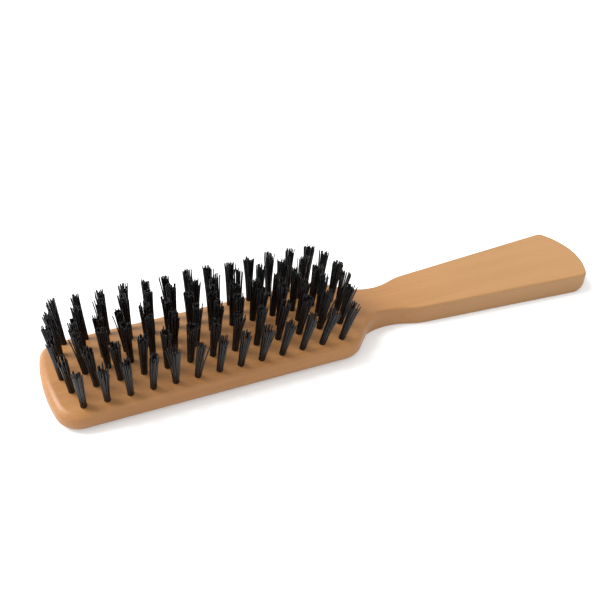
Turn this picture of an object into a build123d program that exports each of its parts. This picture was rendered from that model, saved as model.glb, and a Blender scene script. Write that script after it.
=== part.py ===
"""Wooden body brush: a one-piece beech body with nylon tufts held in drilled holes by flat metal anchors.

Stations along x are measured from the middle of the tuft field, with z = 0 on the flat underside.
The finished pieces are shifted so that the origin is under the middle of the brush's length.
"""
from build123d import *
import math
import os

# Wooden body: stations along the length
TOE = -62.7                     # free end of the head, on the centre line
TOE_CORNER = -59.0              # the toe's two corners, before they are rounded
SHOULDER = 56.2                 # corner where the head's sides turn in
NECK_START = 69.4               # corner where the shoulders meet the neck
NECK_END = 81.8                 # corner where the neck flares out again
HANDLE_START = 90.9             # corner where the flare meets the handle's sides
HANDLE_CORNER = 172.1           # corners of the handle's end
HANDLE_END = 178.1              # end of the handle, on the centre line
RUN_OUT_START = 50.0            # the head's crown fades into the flat handle from here
RUN_OUT_END = 86.0              # to here

# Wooden body: half widths at those stations
HEAD_HALF_WIDTH = 23.0
NECK_HALF_WIDTH = 8.4
HANDLE_START_HALF_WIDTH = 11.7
HANDLE_END_HALF_WIDTH = 17.8

# Wooden body: heights, radii of the outline and radii of the rounded edges
CROWN_HEIGHT = 11.0
CROWN_RADIUS = 82.5             # the head's top is an arc across its width
HANDLE_HEIGHT = 8.1
RISE = 0.0065                   # the top rises above these heights by this much per mm from the toe
TOE_CORNER_RADIUS = 9.4
SHOULDER_RADIUS = 10.0
NECK_RADIUS = 16.0
FLARE_RADIUS = 29.0
HANDLE_START_RADIUS = 25.0
HANDLE_CORNER_RADIUS = 3.0
HEAD_TOP_EDGE = 3.0
HEAD_BOTTOM_EDGE = 4.4
HANDLE_TOP_EDGE = 1.0
HANDLE_BOTTOM_EDGE = 0.9
HANDLE_END_UNDERSIDE = 5.5      # rounding under the handle's end

# The head and the handle are shaped as two overlapping blocks, so that the head's soft edge
# sinks into the handle's crisp one along the shoulders
HEAD_BLOCK_END = 74.5
HANDLE_BLOCK_START = 58.0
BLEND_RADIUS = 26.0
BLOCK_MARGIN = 5.0

# Tufts: number, pitch and distance from the centre line of each row, from the front to the back
ROWS = [
    (13, 8.50, -18.2),
    (13, 8.93, -10.6),
    (14, 8.55, -3.3),
    (14, 8.55, 3.3),
    (13, 8.93, 10.6),
    (13, 8.50, 18.2),
]
SECTIONS = ["toe", "middle", "heel"]
TUFT_LENGTH = 18.4              # standing out of the wood
TUFT_DIAMETER = 2.44
TUFT_TIP_DIAMETER = 4.4
LEAN = 2.5                      # degrees towards the handle, at the middle of the head
LEAN_PER_MM = 0.134             # more lean for each mm along the head

# Holes and anchors: a flat strip is driven across the fold of each tuft and bites into the wood
HOLE_DIAMETER = 2.5
HOLE_DEPTH = 6.0
HOLE_FLOOR_GAP = 0.1
ANCHOR_WIDTH = 2.9
ANCHOR_HEIGHT = 1.8
ANCHOR_THICKNESS = 0.4
ANCHOR_RISE = 1.0               # from the hole's floor to the anchor's lower edge
ANCHOR_GAP = 0.03

ON_THE_BASE = (Align.CENTER, Align.CENTER, Align.MIN)
CENTRED = Pos(-(TOE + HANDLE_END) / 2, 0, 0)


def top_height(x, y):
    """Height of the wood's top: a crowned head that fades into a flat handle, on a slight slope."""
    crown = CROWN_HEIGHT - CROWN_RADIUS + math.sqrt(CROWN_RADIUS**2 - y**2)
    along = (x - RUN_OUT_START) / (RUN_OUT_END - RUN_OUT_START)
    along = min(max(along, 0.0), 1.0)
    fade = along**3 * (10 - 15 * along + 6 * along**2)
    return crown * (1 - fade) + HANDLE_HEIGHT * fade + RISE * (x - TOE)


def space_under_the_top():
    """Everything below the top surface, as one deep block."""
    steps_along, steps_across, half_span, depth = 64, 8, 30.0, 30.0
    first = TOE - BLOCK_MARGIN
    span = HANDLE_END + BLOCK_MARGIN - first
    grid = []
    for i in range(steps_along + 1):
        x = first + span * i / steps_along
        across = [half_span * (2 * j / steps_across - 1) for j in range(steps_across + 1)]
        grid.append([Vector(x, y, top_height(x, y)) for y in across])
    surface = Face.make_surface_from_array_of_points(grid, tol=0.001, min_deg=3, max_deg=5)
    return extrude(surface, amount=depth, dir=(0, 0, -1))


def rounded_face(edges, corners):
    """A face inside the edges, with each listed corner rounded on both sides of the centre line."""
    face = make_face(edges)
    for x, y, radius in corners:
        for side in (y, -y):
            corner = face.vertices().sort_by_distance((x, side, 0))[0]
            face = fillet(corner, radius)
    return face


def mirrored(points):
    """The points, and the same points on the other side of the centre line, in reverse order."""
    return points + [(x, -y) for x, y in reversed(points)]


def head_outline():
    sides = mirrored([
        (TOE_CORNER, HEAD_HALF_WIDTH),
        (SHOULDER, HEAD_HALF_WIDTH),
        (NECK_START, NECK_HALF_WIDTH),
        (NECK_END, NECK_HALF_WIDTH),
    ])
    toe = ThreePointArc(sides[0], (TOE, 0), sides[-1])
    corners = [
        (TOE_CORNER, HEAD_HALF_WIDTH, TOE_CORNER_RADIUS),
        (SHOULDER, HEAD_HALF_WIDTH, SHOULDER_RADIUS),
        (NECK_START, NECK_HALF_WIDTH, NECK_RADIUS),
    ]
    face = rounded_face([toe, Polyline(*sides)], corners)
    return split(face, Plane((HEAD_BLOCK_END, 0, 0), z_dir=(-1, 0, 0)), keep=Keep.TOP)


def handle_outline():
    """The handle and neck, running on inside the head with a wider curve than the shoulders have."""
    neck_turn = math.atan2(HEAD_HALF_WIDTH - NECK_HALF_WIDTH, NECK_START - SHOULDER)
    narrowest = NECK_START + NECK_RADIUS * math.tan(neck_turn / 2)

    def blend(x):
        return NECK_HALF_WIDTH + BLEND_RADIUS - math.sqrt(BLEND_RADIUS**2 - (narrowest - x)**2)

    sides = mirrored([
        (narrowest, NECK_HALF_WIDTH),
        (NECK_END, NECK_HALF_WIDTH),
        (HANDLE_START, HANDLE_START_HALF_WIDTH),
        (HANDLE_CORNER, HANDLE_END_HALF_WIDTH),
    ])
    halfway = (narrowest + HANDLE_BLOCK_START) / 2
    inner = mirrored([(HANDLE_BLOCK_START, blend(HANDLE_BLOCK_START))])
    edges = [
        Polyline(*sides[:4]),
        ThreePointArc(sides[3], (HANDLE_END, 0), sides[4]),
        Polyline(*sides[4:]),
        ThreePointArc(sides[-1], (halfway, -blend(halfway)), inner[1]),
        Line(inner[1], inner[0]),
        ThreePointArc(inner[0], (halfway, blend(halfway)), sides[0]),
    ]
    corners = [
        (NECK_END, NECK_HALF_WIDTH, FLARE_RADIUS),
        (HANDLE_START, HANDLE_START_HALF_WIDTH, HANDLE_START_RADIUS),
        (HANDLE_CORNER, HANDLE_END_HALF_WIDTH, HANDLE_CORNER_RADIUS),
    ]
    return rounded_face(edges, corners)


def space_over_the_rounded_end():
    """Everything above the handle's underside, which is rounded up along the arc of the handle's end."""
    half_chord, sagitta = HANDLE_END_HALF_WIDTH, HANDLE_END - HANDLE_CORNER
    arc_radius = (half_chord**2 + sagitta**2) / (2 * sagitta)
    arc_centre = HANDLE_END - arc_radius
    disc = Pos(arc_centre, 0, 0) * Cylinder(arc_radius, 2 * CROWN_HEIGHT, align=ON_THE_BASE)
    disc = fillet(disc.edges().sort_by(Axis.Z)[0], HANDLE_END_UNDERSIDE)
    length = arc_centre - HANDLE_BLOCK_START + BLOCK_MARGIN
    rest = Box(length, 2 * arc_radius, 2 * CROWN_HEIGHT, align=(Align.MAX, Align.CENTER, Align.MIN))
    return disc + Pos(arc_centre, 0, 0) * rest


def round_rim(block, which, radius, hidden_end):
    """Round the rim of the lowest (0) or highest (-1) face, apart from the end inside the other block."""
    face = block.faces().sort_by(Axis.Z)[which]
    rim = [edge for edge in face.outer_wire().edges() if abs(edge.center().X - hidden_end) > 0.01]
    return fillet(rim, radius)


def shaped_block(outline, under_top, top_edge, bottom_edge, hidden_end):
    block = extrude(outline, amount=2 * CROWN_HEIGHT) & under_top
    block = round_rim(block, -1, top_edge, hidden_end)
    return round_rim(block, 0, bottom_edge, hidden_end)


def tuft_places():
    """Yield each row's places as planes on the wood: origin at the hole's mouth, z along the tuft."""
    for count, pitch, y in ROWS:
        row = []
        for i in range(count):
            x = (i - (count - 1) / 2) * pitch
            lean = math.tan(math.radians(LEAN + LEAN_PER_MM * x))
            slope = y / math.sqrt(CROWN_RADIUS**2 - y**2)
            row.append(Plane((x, y, top_height(x, y)), x_dir=(1, 0, -lean), z_dir=(lean, slope, 1)))
        yield row


def anchor_strip(gap=0.0):
    strip = Box(ANCHOR_WIDTH + 2 * gap, ANCHOR_THICKNESS + 2 * gap, ANCHOR_HEIGHT + 2 * gap)
    return Pos(0, 0, ANCHOR_RISE + ANCHOR_HEIGHT / 2 - HOLE_DEPTH) * strip


def hole_cutter():
    mouth = 2.0
    drill = Cylinder(HOLE_DIAMETER / 2, HOLE_DEPTH + mouth, align=ON_THE_BASE)
    return Pos(0, 0, -HOLE_DEPTH) * drill + anchor_strip(ANCHOR_GAP)


def tuft():
    """A tuft's outer shape: a round root that fills its hole, then a bundle that opens to its tip."""
    root_depth = HOLE_DEPTH - HOLE_FLOOR_GAP
    collar = 0.5
    root = Pos(0, 0, -root_depth) * Cylinder(TUFT_DIAMETER / 2, root_depth + collar, align=ON_THE_BASE)
    bundle = Cone(TUFT_DIAMETER / 2, TUFT_TIP_DIAMETER / 2, TUFT_LENGTH - collar, align=ON_THE_BASE)
    return root + Pos(0, 0, collar) * bundle - anchor_strip(ANCHOR_GAP)


def brush_body(places):
    under_top = space_under_the_top()
    head = shaped_block(head_outline(), under_top, HEAD_TOP_EDGE, HEAD_BOTTOM_EDGE, HEAD_BLOCK_END)
    handle = shaped_block(
        handle_outline(), under_top, HANDLE_TOP_EDGE, HANDLE_BOTTOM_EDGE, HANDLE_BLOCK_START
    )
    handle &= space_over_the_rounded_end()
    cutter = hole_cutter()
    return head + handle - [place * cutter for place in places]


def write(name, solids):
    export_step(CENTRED * Compound(children=solids), f"parts/{name}.step")


def write_sections(kind, piece, row_number, row):
    """Write one row of equal pieces as a node for each section of the head."""
    start = 0
    for i, section in enumerate(SECTIONS):
        size = len(row) // 3 + (1 if i < len(row) % 3 else 0)
        solids = [place * piece for place in row[start:start + size]]
        write(f"{kind}_row_{row_number}_{section}", solids)
        start += size


os.makedirs("parts", exist_ok=True)
rows = list(tuft_places())
write("brush_body", [brush_body([place for row in rows for place in row])])
nylon_tuft = tuft()
anchor = anchor_strip()
for number, row in enumerate(rows, start=1):
    write_sections("tufts", nylon_tuft, number, row)
    write_sections("anchors", anchor, number, row)
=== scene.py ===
"""Looks of the wooden body brush: lacquered beech, folded black nylon tufts, and brass anchors."""

import math
import random

import bmesh
import bpy
from mathutils import Matrix, Vector


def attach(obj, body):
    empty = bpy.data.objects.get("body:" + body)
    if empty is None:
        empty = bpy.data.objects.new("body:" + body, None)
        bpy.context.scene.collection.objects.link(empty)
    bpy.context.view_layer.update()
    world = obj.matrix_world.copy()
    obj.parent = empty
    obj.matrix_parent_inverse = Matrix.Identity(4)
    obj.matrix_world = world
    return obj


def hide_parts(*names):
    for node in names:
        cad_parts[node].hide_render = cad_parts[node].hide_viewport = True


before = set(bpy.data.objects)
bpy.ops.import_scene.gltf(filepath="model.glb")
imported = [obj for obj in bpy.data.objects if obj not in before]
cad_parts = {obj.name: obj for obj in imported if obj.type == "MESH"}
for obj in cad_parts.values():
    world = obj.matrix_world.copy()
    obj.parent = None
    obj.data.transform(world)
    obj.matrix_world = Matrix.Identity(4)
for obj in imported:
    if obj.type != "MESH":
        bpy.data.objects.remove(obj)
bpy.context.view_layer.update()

MM = 0.001

# Camera: where it stands and how it is turned, in metres and degrees
CAMERA_PLACE = (-0.12958, -0.24360, 0.22290)
CAMERA_AZIMUTH = -24.769
CAMERA_ELEVATION = 37.325
CAMERA_ROLL = 2.276
CAMERA_LENS = 50.43

# Lights and floor: where each light comes from, its width in degrees and its strength
LIGHTS = [
    ("key", (-0.52, 0.36, 0.78), 32, 4.9),
    ("side", (-0.95, 0.10, 0.30), 60, 1.5),
    ("fill", (0.10, -0.95, 0.25), 90, 0.85),
]
SKY_BRIGHTNESS = 1.0
FLOOR_HALF_SIDE = 4.0           # metres

# Tufts: a hole's depth, and the strands that are folded in it, in millimetres
HOLE_FILL = 5.9                 # length of the tuft's root, from the hole's floor to its mouth
ANCHOR_FOOT = 0.9               # height of the anchor's lower edge over the root's end
STRAND_DIAMETER = 0.48
STRAND_ROWS = [                 # distance from the anchor's middle plane, strands, their pitch
    (0.44, 5, 0.46),
    (0.80, 4, 0.46),
    (1.02, 3, 0.38),
]
FLARE = (1.55, 2.05)            # how much wider a bundle is at its tip than at its mouth
TIP_SCATTER = 0.16
SWAY = 0.35                     # how far a whole tuft bends to one side
BOW = 0.12                      # how far a strand's middle lags behind its spread, as a share
CUT_SLANT = 0.35                # slope of a tuft's cut end
LENGTH_SCATTER = 0.75
LONGEST = 0.7                   # a tip's height is kept between these, from the tuft's length
SHORTEST = -2.2
STRAY_SHARE = 0.05
STRAY_REACH = (0.6, 1.8)
LEG_STATIONS = (1.0, 0.75, 0.5, 0.25, 0.0)      # points along a leg, from its tip to the mouth
FOLD_STEP = 45                  # degrees between the points of a fold
TIP_ZONE = 1.2                  # how much of a tuft's top is taken as its tip
ROOT_ZONE = 0.1                 # and of its bottom as its root's end
SHARP_ANGLE = 75                # degrees: a strand's cut ends stay crisp
DULLNESS = "dullness"           # the name under which the finish at each point is kept
GLOSS_BIAS = 3                  # the higher, the fewer points are dull


def srgb(red, green, blue):
    """Scene-linear colour of an sRGB triple of 0 to 255."""
    def linear(c):
        c /= 255
        return c / 12.92 if c <= 0.04045 else ((c + 0.055) / 1.055) ** 2.4
    return (linear(red), linear(green), linear(blue), 1.0)


# ---- Shader maths ----

class Signal:
    """A shader socket that can be used in Python expressions."""

    def __init__(self, shader, socket):
        self.shader = shader
        self.socket = socket

    def __add__(self, other):
        return self.shader.maths("ADD", self, other)

    def __sub__(self, other):
        return self.shader.maths("SUBTRACT", self, other)

    def __rsub__(self, other):
        return self.shader.maths("SUBTRACT", other, self)

    def __mul__(self, other):
        return self.shader.maths("MULTIPLY", self, other)

    __radd__ = __add__
    __rmul__ = __mul__


class Shader:
    """A material under construction."""

    def __init__(self, name):
        self.material = bpy.data.materials.new(name)
        self.material.use_nodes = True
        self.tree = self.material.node_tree
        self.surface = self.tree.nodes["Principled BSDF"]
        self.place = self.node("ShaderNodeTexCoord").outputs["Object"]
        parts = self.node("ShaderNodeSeparateXYZ", values={0: self.place})
        self.along = Signal(self, parts.outputs["X"])

    def node(self, kind, settings=None, values=None):
        """A new node: its settings first, then the values or links of its sockets."""
        made = self.tree.nodes.new(kind)
        for key, value in (settings or {}).items():
            setattr(made, key, value)
        for key, value in (values or {}).items():
            self.feed(made.inputs[key], value)
        return made

    def feed(self, socket, value):
        if isinstance(value, Signal):
            value = value.socket
        if isinstance(value, bpy.types.NodeSocket):
            self.tree.links.new(value, socket)
        else:
            socket.default_value = value

    def maths(self, operation, a, b):
        made = self.node("ShaderNodeMath", {"operation": operation}, {0: a, 1: b})
        return Signal(self, made.outputs[0])

    def stretched(self, along, across, offset=0.0):
        """Object coordinates, scaled along x and across it, so a pattern follows the length."""
        values = {
            "Vector": self.place,
            "Location": (offset, offset, offset),
            "Scale": (along, across, across),
        }
        return self.node("ShaderNodeMapping", values=values).outputs[0]

    def noise(self, vector, detail=2.0, roughness=0.5, scale=1.0):
        values = {"Vector": vector, "Scale": scale, "Detail": detail, "Roughness": roughness}
        return Signal(self, self.node("ShaderNodeTexNoise", values=values).outputs[0])

    def attribute(self, name):
        made = self.node("ShaderNodeAttribute", {"attribute_name": name})
        return Signal(self, made.outputs["Fac"])

    def band(self, signal, low, high):
        """0 below low, 1 above high, with a smooth step between them."""
        settings = {"interpolation_type": "SMOOTHSTEP"}
        made = self.node("ShaderNodeMapRange", settings, {0: signal, 1: low, 2: high})
        return Signal(self, made.outputs[0])

    def blend(self, factor, first, second):
        made = self.node("ShaderNodeMix", {"data_type": "RGBA"}, {0: factor, 6: first, 7: second})
        return made.outputs[2]

    def bump(self, height, strength, distance):
        values = {"Height": height, "Strength": strength, "Distance": distance}
        return self.node("ShaderNodeBump", values=values).outputs[0]

    def finish(self, **values):
        for key, value in values.items():
            self.feed(self.surface.inputs[key.replace("_", " ")], value)
        return self.material


# ---- Materials ----

def lacquered_beech():
    """Warm beech with soft growth bands, fine fibres and short ray flecks, under satin lacquer;
    painted shade on the head and a painted sheen on the handle.
    """
    wood = Shader("lacquered_beech")
    bands = wood.noise(wood.stretched(3.0, 70.0), detail=3.0)
    fibres = wood.noise(wood.stretched(14.0, 900.0, 3.0), detail=3.0, roughness=0.6)
    flecks = wood.noise(wood.stretched(330.0, 2600.0, 7.0), detail=1.0)
    flecks = wood.band(flecks, 0.66, 0.74)
    blotches = wood.noise(wood.stretched(22.0, 45.0, 11.0), detail=2.0)
    tone = wood.band(bands * 0.5 + fibres * 0.3 + blotches * 0.2, 0.38, 0.62)
    # Painted light: the head gets a deeper, more saturated copy of the beech as painted shade from
    # its tufts. The handle gets a paler copy as a painted sheen on its open top.
    head_painted_shade = wood.blend(tone, srgb(134, 91, 49), srgb(146, 102, 57))
    handle_painted_sheen = wood.blend(tone, srgb(136, 99, 59), srgb(141, 104, 64))
    # Painted light: blends along x from the head's painted shade to the handle's painted sheen.
    colour = wood.blend(wood.band(wood.along, -0.01, 0.07), head_painted_shade, handle_painted_sheen)
    colour = wood.blend(flecks * 0.4, colour, srgb(112, 74, 40))
    relief = wood.bump(fibres * 0.7 + flecks * 0.3, 0.06, 0.00005)
    return wood.finish(
        Base_Color=colour,
        Roughness=0.40 + fibres * 0.12,
        Normal=relief,
        Specular_IOR_Level=0.3,
        Coat_Weight=0.1,
        Coat_Roughness=0.32,
    )


def black_nylon():
    """Near-black filament, glossy in most places and duller in others."""
    nylon = Shader("black_nylon")
    dullness = nylon.attribute(DULLNESS)
    drawing = nylon.noise(nylon.place, scale=1900.0, detail=1.0)
    colour = nylon.blend(dullness, srgb(3, 3, 4), srgb(23, 23, 25))
    roughness = 0.10 + dullness * 0.38 + drawing * 0.06
    return nylon.finish(Base_Color=colour, Roughness=roughness, Specular_IOR_Level=0.34)


def bright_brass():
    """Cut brass strip with fine drawing lines."""
    brass = Shader("bright_brass")
    lines = brass.noise(brass.stretched(300.0, 9000.0), detail=2.0)
    colour = brass.blend(lines, srgb(196, 160, 92), srgb(222, 190, 120))
    return brass.finish(Base_Color=colour, Metallic=1.0, Roughness=0.24 + lines * 0.14)


def paper_white():
    """A white sheet that is lit a little from below, so that shadows on it stay soft."""
    white = Shader("paper_white")
    return white.finish(
        Base_Color=(0.62, 0.62, 0.62, 1.0),
        Roughness=0.9,
        Specular_IOR_Level=0.1,
        Emission_Color=(1.0, 1.0, 1.0, 1.0),
        Emission_Strength=0.25,
    )


def paint(thing, material):
    thing.data.materials.clear()
    thing.data.materials.append(material)


# ---- Tufts ----

def islands(mesh):
    """The separate solids of a CAD node, each as a list of its points."""
    bm = bmesh.new()
    bm.from_mesh(mesh)
    bmesh.ops.remove_doubles(bm, verts=bm.verts, dist=0.001 * MM)
    waiting = set(bm.verts)
    found = []
    while waiting:
        reached = [waiting.pop()]
        points = []
        while reached:
            vert = reached.pop()
            points.append(vert.co.copy())
            for edge in vert.link_edges:
                other = edge.other_vert(vert)
                if other in waiting:
                    waiting.remove(other)
                    reached.append(other)
        found.append(points)
    bm.free()
    return sorted(found, key=lambda points: min(p.x for p in points))


def middle(points):
    """The middle of the points' box."""
    low = Vector([min(p[i] for p in points) for i in range(3)])
    high = Vector([max(p[i] for p in points) for i in range(3)])
    return (low + high) / 2


def tuft_frame(points):
    """A tuft's frame and length. The frame has its origin at the root's end and z to the tip."""
    highest = max(p.z for p in points)
    tip = middle([p for p in points if p.z > highest - TIP_ZONE * MM])
    reach = max((p - tip).length for p in points)
    root = middle([p for p in points if (p - tip).length > reach - ROOT_ZONE * MM])
    along = (tip - root).normalized()
    side = Vector((0, 1, 0)).cross(along).normalized()
    matrix = Matrix((side, along.cross(side), along)).transposed().to_4x4()
    matrix.translation = root
    return matrix, (tip - root).length


def strand_legs(dice, length):
    """Mouth and tip of each strand's two legs, which leave the hole on both sides of the anchor."""
    sway = Vector((dice.gauss(0, SWAY), dice.gauss(0, SWAY), 0))
    cut = Vector((dice.gauss(0, CUT_SLANT), dice.gauss(0, CUT_SLANT), 0))
    flare = dice.uniform(*FLARE)
    for distance, count, pitch in STRAND_ROWS:
        for i in range(count):
            across = (i - (count - 1) / 2) * pitch
            legs = []
            for side in (-1, 1):
                mouth = Vector((across, side * distance, HOLE_FILL))
                outward = Vector((mouth.x, mouth.y, 0))
                tip = outward * flare + sway
                tip += Vector((dice.gauss(0, TIP_SCATTER), dice.gauss(0, TIP_SCATTER), 0))
                if dice.random() < STRAY_SHARE:
                    tip += outward.normalized() * dice.uniform(*STRAY_REACH)
                trim = cut.dot(outward) + dice.gauss(0, LENGTH_SCATTER)
                tip.z = length + min(max(trim, SHORTEST), LONGEST)
                legs.append((mouth, tip))
            yield legs


def strand_path(legs):
    """A folded strand's points: down from one tip, round under the anchor, up to the other tip."""
    path = []
    for mouth, tip in legs:
        straight = tip - mouth
        bow = Vector((straight.x, straight.y, 0)) * -BOW
        leg = [mouth + straight * t + bow * 4 * t * (1 - t) for t in LEG_STATIONS]
        path.append(leg)
    distance = abs(legs[0][0].y)
    across = legs[0][0].x
    drop = min(distance, ANCHOR_FOOT - STRAND_DIAMETER / 2)
    fold = []
    for turn in range(0, 181, FOLD_STEP):
        angle = math.radians(turn)
        height = ANCHOR_FOOT - drop * math.sin(angle)
        fold.append(Vector((across, -distance * math.cos(angle), height)))
    return path[0] + fold + path[1][::-1]


def filament_tufts(node, seed):
    """The tufts of one CAD node as bundles of folded strands."""
    dice = random.Random(seed)
    name = node.name.replace("tufts", "filaments")
    line = bpy.data.curves.new(name, "CURVE")
    line.dimensions = "3D"
    line.bevel_depth = STRAND_DIAMETER / 2 * MM
    line.bevel_resolution = 1
    line.use_fill_caps = True
    for points in islands(node.data):
        matrix, length = tuft_frame(points)
        for legs in strand_legs(dice, length / MM):
            path = strand_path(legs)
            spline = line.splines.new("POLY")
            spline.points.add(len(path) - 1)
            for point, place in zip(spline.points, path):
                point.co = (*(matrix @ (place * MM)), 1.0)
    drawn = bpy.data.objects.new(name, line)
    bpy.context.scene.collection.objects.link(drawn)
    bpy.context.view_layer.update()
    solid = drawn.evaluated_get(bpy.context.evaluated_depsgraph_get())
    mesh = bpy.data.meshes.new_from_object(solid)
    dullness = [dice.random() ** GLOSS_BIAS for vert in mesh.vertices]
    mesh.attributes.new(DULLNESS, "FLOAT", "POINT").data.foreach_set("value", dullness)
    bpy.data.objects.remove(drawn)
    mesh.set_sharp_from_angle(angle=math.radians(SHARP_ANGLE))
    piece = bpy.data.objects.new(name, mesh)
    bpy.context.scene.collection.objects.link(piece)
    return piece


# ---- Stage ----

def add_camera():
    azimuth, elevation = math.radians(CAMERA_AZIMUTH), math.radians(CAMERA_ELEVATION)
    ahead = Vector((
        -math.sin(azimuth) * math.cos(elevation),
        math.cos(azimuth) * math.cos(elevation),
        -math.sin(elevation),
    ))
    roll = Matrix.Rotation(math.radians(CAMERA_ROLL), 4, "Z")
    turn = ahead.to_track_quat("-Z", "Y").to_matrix().to_4x4() @ roll
    data = bpy.data.cameras.new("camera")
    data.lens = CAMERA_LENS
    data.sensor_width = 36
    data.clip_start = 0.01
    camera = bpy.data.objects.new("camera", data)
    camera.matrix_world = Matrix.Translation(CAMERA_PLACE) @ turn
    bpy.context.scene.collection.objects.link(camera)
    bpy.context.scene.camera = camera


def add_soft_light(name, source, width, strength):
    """A far light of that width in degrees, shining from the direction of source."""
    data = bpy.data.lights.new(name, "SUN")
    data.angle = math.radians(width)
    data.energy = strength
    light = bpy.data.objects.new(name, data)
    light.matrix_world = (-Vector(source)).to_track_quat("-Z", "Y").to_matrix().to_4x4()
    bpy.context.scene.collection.objects.link(light)


def add_floor():
    bm = bmesh.new()
    bmesh.ops.create_grid(bm, x_segments=1, y_segments=1, size=FLOOR_HALF_SIDE)
    mesh = bpy.data.meshes.new("floor")
    bm.to_mesh(mesh)
    bm.free()
    floor = bpy.data.objects.new("floor", mesh)
    bpy.context.scene.collection.objects.link(floor)
    paint(floor, paper_white())


def add_sky():
    world = bpy.data.worlds.new("soft_white")
    world.use_nodes = True
    background = world.node_tree.nodes["Background"]
    background.inputs["Color"].default_value = (1, 1, 1, 1)
    background.inputs["Strength"].default_value = SKY_BRIGHTNESS
    bpy.context.scene.world = world


# ---- The brush ----

add_camera()
add_floor()
add_sky()
for light in LIGHTS:
    add_soft_light(*light)
bpy.context.scene.view_settings.view_transform = "Standard"

beech = lacquered_beech()
nylon = black_nylon()
brass = bright_brass()

paint(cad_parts["brush_body"], beech)
for seed, name in enumerate(sorted(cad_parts)):
    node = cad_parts[name]
    if name.startswith("anchors"):
        paint(node, brass)
    if name.startswith("tufts"):
        tufts = filament_tufts(node, seed)
        paint(tufts, nylon)
        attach(tufts, "root")
        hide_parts(name)
